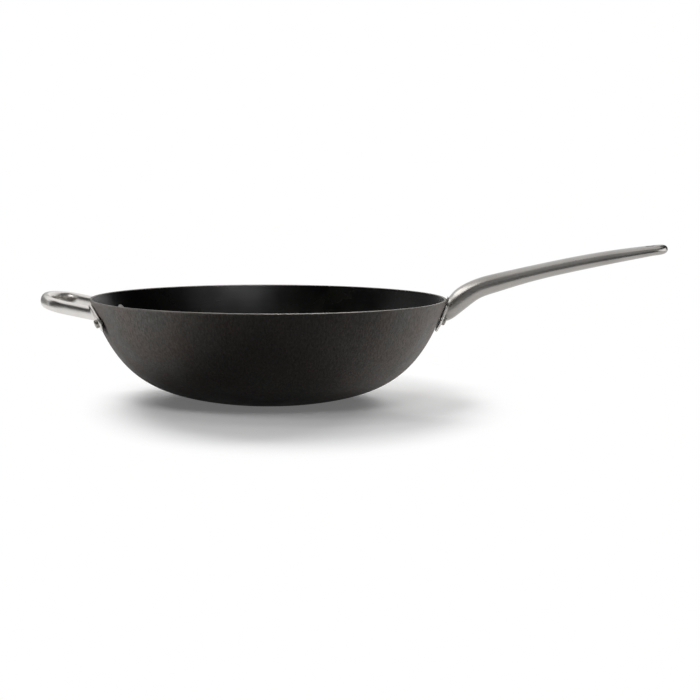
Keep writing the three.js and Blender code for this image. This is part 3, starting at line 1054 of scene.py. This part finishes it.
    def seated(self, lines: np.ndarray) -> list[np.ndarray]:
        """Trim the tube to the bracket and the wall, and weld it there.

        Args:
            lines: Full rings in order, as steps by sides by three.

        Returns:
            Rings from the weld's toe to the end of the tube.
        """
        local = self.bracket.local(lines)
        lift = local[..., 2] - self.support(local) - self.weld
        count, sides = lift.shape
        near = np.where(lift <= 0, np.arange(count)[:, None], 0).max(0)
        column = np.arange(sides)
        low, high = lift[near, column], lift[near + 1, column]
        start = near + low / (low - high)
        last = int(near.max()) + self.seat_steps // 2
        rings = []
        for share in np.linspace(0, 1, self.seat_steps):
            at = start + (last - start) * share
            step = np.minimum(at.astype(int), count - 2)
            part = (at - step)[:, None]
            rings.append(lines[step, column] * (1 - part) + lines[step + 1, column] * part)
        foot = self.bracket.local(rings[0])
        weld = weld_fillet(self.bracket, rings[0], -self.bracket.out, self.support(foot), self.weld)
        return [*weld[:-1], *rings, *lines[last + 1 :]]

    def tube(self) -> bpy.types.Object:
        """Make the tube with its hanging hole.

        Returns:
            The tube.
        """
        rings = self.seated(np.stack([self.ring(row) for row in self.rows()]))
        for share in np.sin(np.linspace(0, QUARTER_TURN, self.tip_steps + 1)[1:]):
            rings.append(self.ring(self.tip_row(min(float(share), self.tip_end))))
        tube = skin("long_handle_dressed", rings, [TUBE])
        cutter = self.hole_cutter()
        cut = tube.modifiers.new("hanging_hole", "BOOLEAN")
        cut.operation, cut.solver, cut.object = "DIFFERENCE", "EXACT", cutter
        bpy.context.view_layer.update()
        shaped = bpy.data.meshes.new_from_object(tube.evaluated_get(bpy.context.evaluated_depsgraph_get()))
        tube.modifiers.clear()
        tube.data = shaped
        bpy.data.objects.remove(cutter)
        tube.data.shade_smooth()
        tube.data.set_sharp_from_angle(angle=SHARP_ANGLE)
        settle(tube, "long_handle")
        return tube


@dataclass
class HelperLoop:
    """Stainless bar bent into a loop, on two foot plates with a rivet each."""

    wall: Wall
    lateral: float = 46.5
    root_depth: float = 13.0
    rise: float = 11.4
    reach: float = 48.5
    bend: float = 24.9
    height: float = 12.5
    width: float = 9.6
    squareness: float = 2.3
    sides: int = 56
    bend_steps: int = 110
    leg_steps: int = 8
    weld: float = 1.4
    plate_face: float = 2.8
    foot_depth: float = 17.0
    # A foot's upper end: depth below the rim, and radius.
    foot_top: tuple[float, float] = (12.0, 9.5)
    rivet_depth: float = 19.0
    rivet_offset: float = 16.0
    ear_radius: float = 8.5

    def __post_init__(self) -> None:
        """Place the feet's frames and the loop's plane."""
        radius = self.wall.point(self.wall.share_at(self.wall.rim_height - self.foot_depth))[0]
        turn = math.asin(self.lateral / radius)
        self.feet = {
            side: self.wall.touching(math.pi - side.value * turn, self.foot_depth) for side in Side
        }
        root_share = self.wall.share_at(self.wall.rim_height - self.root_depth)
        root_radius, root_height = self.wall.point(root_share)
        self.root_forward = math.sqrt(root_radius**2 - self.lateral**2)
        slope = math.radians(self.rise)
        self.outwards = np.array([-math.cos(slope), 0.0, math.sin(slope)])
        self.up = np.array([math.sin(slope), 0.0, math.cos(slope)])
        self.origin = np.array([-self.root_forward, 0.0, root_height])

    def ring(self, forward: float, lateral: float, ahead: float, aside: float) -> np.ndarray:
        """Section of the bar.

        Args:
            forward: Distance from the wok's axis.
            lateral: Distance from the centre plane.
            ahead: Share of the bar's direction that points away from the wok.
            aside: Share that points across.

        Returns:
            Ring of points.
        """
        distance = (forward - self.root_forward) / math.cos(math.radians(self.rise))
        centre = self.origin + self.outwards * distance + ACROSS * lateral
        heading = self.outwards * ahead + ACROSS * aside
        across = np.cross(heading / np.linalg.norm(heading), self.up)
        return oval_ring(centre, across, self.up, self.width, self.height, self.squareness, self.sides)

    def bar(self) -> bpy.types.Object:
        """Bend the bar and weld it to its feet.

        Returns:
            The loop.
        """
        start = self.wall.rim_radius + self.reach - self.width / 2 - self.bend
        rings = []
        for angle in np.linspace(0, np.pi, self.bend_steps + 1):
            rings.append(self.ring(
                start + self.bend * math.sin(angle),
                self.lateral * math.cos(angle),
                self.bend * math.cos(angle),
                -self.lateral * math.sin(angle),
            ))
        right = weld_fillet(self.feet[Side.RIGHT], rings[0], -self.outwards, self.plate_face, self.weld)
        left = weld_fillet(self.feet[Side.LEFT], rings[-1], -self.outwards, self.plate_face, self.weld)[::-1]
        shares = np.linspace(0, 1, self.leg_steps + 1)[1:-1]
        right_leg = [right[-1] + (rings[0] - right[-1]) * share for share in shares]
        left_leg = [rings[-1] + (left[0] - rings[-1]) * share for share in shares]
        loop = skin("helper_loop_dressed", [*right, *right_leg, *rings, *left_leg, *left], [BAR])
        settle(loop, "helper_loop")
        return loop

    def build(self) -> list[bpy.types.Object]:
        """Make the loop, its feet and its rivets.

        Returns:
            The pieces.
        """
        pieces = [self.bar()]
        for side, foot in self.feet.items():
            word = side.name.lower()
            top_depth, top_radius = self.foot_top
            rivet_lateral = self.lateral + self.rivet_offset
            top = self.wall.spot(foot, -1, side.value * self.lateral, top_depth)
            rivet = self.wall.spot(foot, -1, side.value * rivet_lateral, self.rivet_depth)
            placed = [(top, top_radius), (rivet, self.ear_radius)]
            circles = [(float(spot[0]), float(spot[1]), radius) for spot, radius in placed]
            node = f"helper_foot_{word}"
            pieces.append(WallPlate(f"{node}_dressed", node, foot, circles, Slot.POLISHED, PLATE).build())
            node = f"helper_rivet_{word}"
            pieces.append(Rivet(f"{node}_dressed", node, self.wall, foot, rivet).build())
        return pieces


# Studio


def shown(tree: bpy.types.NodeTree) -> bpy.types.NodeSocket:
    """Value that is 1 for the lens and for what mirrors or passes light, and 0 for scattered light.

    Args:
        tree: Node tree of a material or of the world.

    Returns:
        The value's output.
    """
    rays = add_node(tree, "ShaderNodeLightPath").outputs
    seen = rays["Is Camera Ray"]
    for ray in ("Is Glossy Ray", "Is Transmission Ray"):
        either = add_node(tree, "ShaderNodeMath", {0: seen, 1: rays[ray]}, operation="MAXIMUM")
        seen = either.outputs["Value"]
    return seen


@dataclass(frozen=True)
class StudioPaper(Finish):
    """White background paper: matt, takes the wok's shadow, and is bleached to even white further out."""

    colour: str = "#f4f4f4"
    # Paper fibres are finer than a pixel, so they are drawn coarser.
    fibre_mm: float = 3.0
    fibre_depth_mm: float = 0.02
    roughness: float = 0.9
    # Share of white that the paper has even where no lamp reaches it.
    lift: float = 0.13
    # Between these distances from its middle the paper goes over to even white.
    bleach_mm: tuple[float, float] = (262.0, 389.0)

    def paint(self, tree: bpy.types.NodeTree, shader: bpy.types.Node, place: bpy.types.NodeSocket) -> None:
        """Press fibres into the paper and raise it to white for the lens and for what mirrors it."""
        fibre = add_node(tree, "ShaderNodeTexNoise", {"Vector": place, "Scale": 1 / self.fibre_mm})
        away = add_node(tree, "ShaderNodeVectorMath", {0: place}, operation="LENGTH")
        far = add_node(
            tree,
            "ShaderNodeMapRange",
            {"Value": away.outputs["Value"], "From Min": self.bleach_mm[0], "From Max": self.bleach_mm[1]},
            interpolation_type="SMOOTHSTEP",
        ).outputs["Result"]
        bare = add_node(
            tree,
            "ShaderNodeMix",
            {MIX_SHARE: far, MIX_UNDER: linear(self.colour), MIX_OVER: linear(BLACK)},
            data_type="RGBA",
        )
        raised = add_node(tree, "ShaderNodeMapRange", {"Value": far, "To Min": self.lift})
        glow = add_node(
            tree, "ShaderNodeMath", {0: shown(tree), 1: raised.outputs["Result"]}, operation="MULTIPLY"
        )
        tree.links.new(bare.outputs[MIX_RESULT], shader.inputs["Base Color"])
        tree.links.new(glow.outputs["Value"], shader.inputs["Emission Strength"])
        self.carve(tree, shader, [(fibre.outputs["Fac"], self.fibre_depth_mm)])
        shader.inputs["Emission Color"].default_value = WHITE_LIGHT
        shader.inputs["Roughness"].default_value = self.roughness
        shader.inputs["Specular IOR Level"].default_value = 0.0


@dataclass(frozen=True)
class StudioCard(Finish):
    """Matt studio card that glows at an even tone with a faint cloth grain, and shows only in reflections:
    painted reflections on the steel.
    """

    tone: str = "#404040"
    glow: float = 1.0
    # The cloth's threads don't show in a mirror image, so its grain is drawn as broad clouds.
    cloth_mm: float = 40.0
    cloth_shade: tuple[float, float] = (0.9, 1.1)

    def paint(self, tree: bpy.types.NodeTree, shader: bpy.types.Node, place: bpy.types.NodeSocket) -> None:
        """Make the card glow at its own even tone, which the steel shows as a painted reflection."""
        cloth = add_node(tree, "ShaderNodeTexNoise", {"Vector": place, "Scale": 1 / self.cloth_mm})
        low, high = (shade * self.glow for shade in self.cloth_shade)
        grain = add_node(
            tree, "ShaderNodeMapRange", {"Value": cloth.outputs["Fac"], "To Min": low, "To Max": high}
        )
        tree.links.new(grain.outputs["Result"], shader.inputs["Emission Strength"])
        shader.inputs["Base Color"].default_value = linear(BLACK)
        shader.inputs["Emission Color"].default_value = linear(self.tone)
        shader.inputs["Specular IOR Level"].default_value = 0.0


@dataclass(frozen=True)
class Card:
    """Card bent round an upright line. Distances and heights are of its lower and upper edge, in metres."""

    name: str
    finish: StudioCard
    azimuths: tuple[float, float]
    distances: tuple[float, float]
    heights: tuple[float, float]
    middle: tuple[float, float] = (0.0, 0.0)
    steps: int = 24

    def build(self) -> bpy.types.Object:
        """Hang the card where steel mirrors it and the lens doesn't see it.

        Returns:
            The card.
        """
        points, faces = [], []
        for i, azimuth in enumerate(np.radians(np.linspace(*self.azimuths, self.steps + 1))):
            for distance, height in zip(self.distances, self.heights):
                x, y = self.middle
                points.append((x + distance * math.sin(azimuth), y - distance * math.cos(azimuth), height))
            if i:
                faces.append((2 * i - 2, 2 * i, 2 * i + 1, 2 * i - 1))
        mesh = bpy.data.meshes.new(self.name)
        mesh.from_pydata(points, [], faces)
        mesh.materials.append(self.finish.material())
        card = bpy.data.objects.new(self.name, mesh)
        card.visible_camera = False
        card.visible_diffuse = False
        card.visible_shadow = False
        bpy.context.scene.collection.objects.link(card)
        return card


class Falls(Enum):
    """What a lamp's light falls on."""

    PAPER = "the paper floor alone, where the wok's shadow shows"
    MATT_BOWL = "the bowl alone, with no mirror image of the lamp"
    GLOSS_BOWL = "the bowl alone, as a mirror image of the lamp"


@dataclass(frozen=True)
class Softbox:
    """Rectangular studio lamp that faces the wok. Angles are in degrees, sizes in metres, power in watts."""

    name: str
    falls: Falls
    azimuth: float
    elevation: float
    power: float
    distance: float = 4.0
    width: float = 1.4
    height: float = 1.4


# Cards that glow at fixed dark tones, seen only in reflections, give the steel painted dark bands, each a
# shade of its own.
DARK = StudioCard("painted_reflection_black_card", "#404040")
DIM = StudioCard("painted_reflection_dark_card", "#606060")
DULL = StudioCard("painted_reflection_dull_card", "#8c8c8c")
GREY = StudioCard("painted_reflection_grey_card", "#a8a8a8")
# Cards that glow brighter than white, seen only in reflections, give the steel painted highlights.
WHITE = StudioCard("painted_highlight_white_card", "#ffffff", 2.0)
BRIGHT = StudioCard("painted_highlight_bright_card", "#ffffff", 3.2)
# Pressed paper scatters light evenly, so it shows soft shadow and no gloss.
PAPER = StudioPaper("pressed_white_paper")


@dataclass
class Studio:
    """Paper floor, soft lamps, cards for the steel to mirror, and the camera.

    Floor, lamps and cards are placed in metres, and angles are in degrees.
    """

    floor_size: float = 12.0
    floor_middle: tuple[float, float, float] = (0.033, 0.005, 0.0)
    # The floor is narrowed in X, which makes the edge of the bleached paper an oval.
    floor_spread: tuple[float, float, float] = (0.557, 1.0, 1.0)
    aim: tuple[float, float, float] = (0.0, 0.0, 0.05)
    lamps: tuple[Softbox, ...] = (
        Softbox("paper_lamp_behind", Falls.PAPER, 180.0, 22.0, 46.0),
        Softbox("paper_lamp_behind_right", Falls.PAPER, 150.0, 28.0, 92.0),
        Softbox("paper_lamp_behind_left", Falls.PAPER, 210.0, 28.0, 49.0),
        Softbox("paper_lamp_high_behind", Falls.PAPER, 210.0, 50.0, 19.0),
        Softbox("paper_lamp_high_left", Falls.PAPER, 245.0, 70.0, 17.5),
        Softbox("paper_lamp_front", Falls.PAPER, 0.0, 50.0, 20.0),
        Softbox("paper_lamp_front_left", Falls.PAPER, -50.0, 60.0, 20.5),
        Softbox("lamp_behind", Falls.MATT_BOWL, 188.0, 40.0, 82.0, 3.0, 1.1, 1.9),
        Softbox("lamp_behind_left", Falls.MATT_BOWL, 232.0, 38.0, 17.0, 2.0, 0.8, 0.8),
        Softbox("lamp_behind_right", Falls.MATT_BOWL, 132.0, 36.0, 15.0, 2.0, 0.8, 0.8),
        Softbox("lamp_above", Falls.MATT_BOWL, 20.0, 80.0, 4.0, 1.8, 1.4, 1.0),
        Softbox("lamp_front", Falls.GLOSS_BOWL, 21.0, 29.0, 40.0, 1.5, 0.3, 0.3),
        Softbox("lamp_high_left", Falls.MATT_BOWL, -80.0, 30.0, 55.0, 1.4, 0.5, 0.5),
        Softbox("lamp_low_front", Falls.MATT_BOWL, 50.0, 0.0, 2.4, 1.4, 1.0, 0.085),
        Softbox("lamp_low_right", Falls.MATT_BOWL, 115.0, 0.0, 58.0, 1.4, 1.0, 0.085),
    )
    # The cards glow at fixed tones and show only in reflections, as painted dark bands and highlights on the
    # steel.
    cards: tuple[Card, ...] = (
        Card("card_front", DARK, (-99.0, 150.0), (1.25, 1.05), (0.04, 1.5)),
        Card("card_low_front", DIM, (-70.0, -3.0), (1.2, 1.2), (0.04, 0.45)),
        Card("card_left", DULL, (-165.0, -104.0), (1.25, 1.25), (0.02, 0.5)),
        Card("card_low_right", DIM, (8.0, 70.0), (0.42, 1.2), (0.004, 0.03)),
        Card("card_high_right", GREY, (3.0, 62.0), (0.95, 0.25), (0.2, 1.35)),
        Card("card_root", BRIGHT, (-125.0, -30.0), (0.09, 0.09), (0.165, 0.275), (0.19, -0.01)),
        Card("card_tip", WHITE, (60.0, 100.0), (0.75, 0.75), (0.06, 0.28)),
    )
    world_light: float = 0.06
    # The camera was fitted to the rim's ellipse and to the bowl's outline in the photograph.
    turn: float = 3.5
    distance_mm: float = 2000.0
    elevation: float = 4.676
    pitch: float = 6.137
    yaw: float = 2.306
    roll: float = 0.268
    focal_px: float = 2032.1
    image_px: float = 700.0
    sensor_mm: float = 36.0
    clip: tuple[float, float] = (0.05, 50.0)

    @staticmethod
    def direction(azimuth: float, elevation: float) -> Vector:
        """Direction from the wok, with azimuth 0 towards -Y and 90 towards +X."""
        a, e = math.radians(azimuth), math.radians(elevation)
        return Vector((math.sin(a) * math.cos(e), -math.cos(a) * math.cos(e), math.sin(e)))

    def floor(self) -> bpy.types.Object:
        """Lay the paper.

        Returns:
            The floor.
        """
        half = self.floor_size / 2
        corners = [(-half, -half, 0), (half, -half, 0), (half, half, 0), (-half, half, 0)]
        mesh = bpy.data.meshes.new("paper_floor")
        mesh.from_pydata(corners, [], [(0, 1, 2, 3)])
        mesh.materials.append(PAPER.material())
        floor = bpy.data.objects.new("paper_floor", mesh)
        floor.location = self.floor_middle
        floor.scale = self.floor_spread
        # Paper this wide would light the bowl from below, where the photograph shows it dark.
        floor.visible_diffuse = False
        bpy.context.scene.collection.objects.link(floor)
        return floor

    def light(self, bowl: bpy.types.Object, floor: bpy.types.Object) -> None:
        """Hang the lamps and set the world.

        Args:
            bowl: The bowl, which some of the lamps light alone.
            floor: The paper, which the others light alone.
        """
        lit_bowl = bpy.data.collections.new("lit_bowl")
        lit_paper = bpy.data.collections.new("lit_paper")
        lit_bowl.objects.link(bowl)
        lit_paper.objects.link(floor)
        for lamp in self.lamps:
            data = bpy.data.lights.new(lamp.name, "AREA")
            data.shape = "RECTANGLE"
            data.size, data.size_y = lamp.width, lamp.height
            data.energy = lamp.power
            obj = bpy.data.objects.new(lamp.name, data)
            towards = self.direction(lamp.azimuth, lamp.elevation)
            obj.location = Vector(self.aim) + towards * lamp.distance
            obj.rotation_euler = towards.to_track_quat("Z", "Y").to_euler()
            obj.visible_camera = False
            obj.visible_glossy = lamp.falls is Falls.GLOSS_BOWL
            obj.visible_diffuse = lamp.falls is not Falls.GLOSS_BOWL
            obj.light_linking.receiver_collection = lit_paper if lamp.falls is Falls.PAPER else lit_bowl
            bpy.context.scene.collection.objects.link(obj)
        world = bpy.data.worlds.new("studio_world")
        bpy.context.scene.world = world
        world.use_nodes = True
        tree = world.node_tree
        tree.nodes.clear()
        strength = add_node(tree, "ShaderNodeMapRange", {"Value": shown(tree), "To Min": self.world_light})
        sockets = {"Color": WHITE_LIGHT, "Strength": strength.outputs["Result"]}
        sky = add_node(tree, "ShaderNodeBackground", sockets)
        add_node(tree, "ShaderNodeOutputWorld", {"Surface": sky.outputs["Background"]})

    def camera(self) -> bpy.types.Object:
        """Set the camera where the photograph was taken from.

        Returns:
            The camera.
        """
        pitch, yaw, roll = (math.radians(a) for a in (self.pitch, self.yaw, self.roll))
        level = Vector((math.sin(yaw), math.cos(yaw), 0.0))
        forward = level * math.cos(pitch) - Vector((0.0, 0.0, math.sin(pitch)))
        right = Vector((math.cos(yaw), -math.sin(yaw), 0.0))
        up = right.cross(forward)
        rolled = Matrix.Rotation(roll, 3, -forward)
        right, up = rolled @ right, rolled @ up
        e = math.radians(self.elevation)
        back, rise = self.distance_mm * math.cos(e), self.distance_mm * math.sin(e)
        place = Vector((0.0, -back, Wall().rim_height + rise)) * MM
        turn = Matrix.Rotation(math.radians(self.turn), 3, "Z")
        axes = Matrix((turn @ right, turn @ up, turn @ -forward)).transposed()
        data = bpy.data.cameras.new("camera")
        data.sensor_width = self.sensor_mm
        data.lens = self.focal_px * self.sensor_mm / self.image_px
        data.clip_start, data.clip_end = self.clip
        camera = bpy.data.objects.new("camera", data)
        camera.matrix_world = Matrix.Translation(turn @ place) @ axes.to_4x4()
        bpy.context.scene.collection.objects.link(camera)
        bpy.context.scene.camera = camera
        return camera

    def build(self, bowl: bpy.types.Object) -> None:
        """Set up the floor, the cards, the light and the camera.

        Args:
            bowl: The bowl.
        """
        floor = self.floor()
        for card in self.cards:
            card.build()
        self.light(bowl, floor)
        self.camera()
        bpy.context.scene.view_settings.view_transform = "Standard"


def main() -> None:
    """Build the wok and its studio in order."""
    logging.basicConfig(level=logging.INFO, format="%(name)s %(message)s")
    wall = Wall()
    bowl = Bowl(wall).build()
    LongHandle(wall).build()
    HelperLoop(wall).build()
    Studio().build(bowl)


if __name__ == "__main__":
    main()
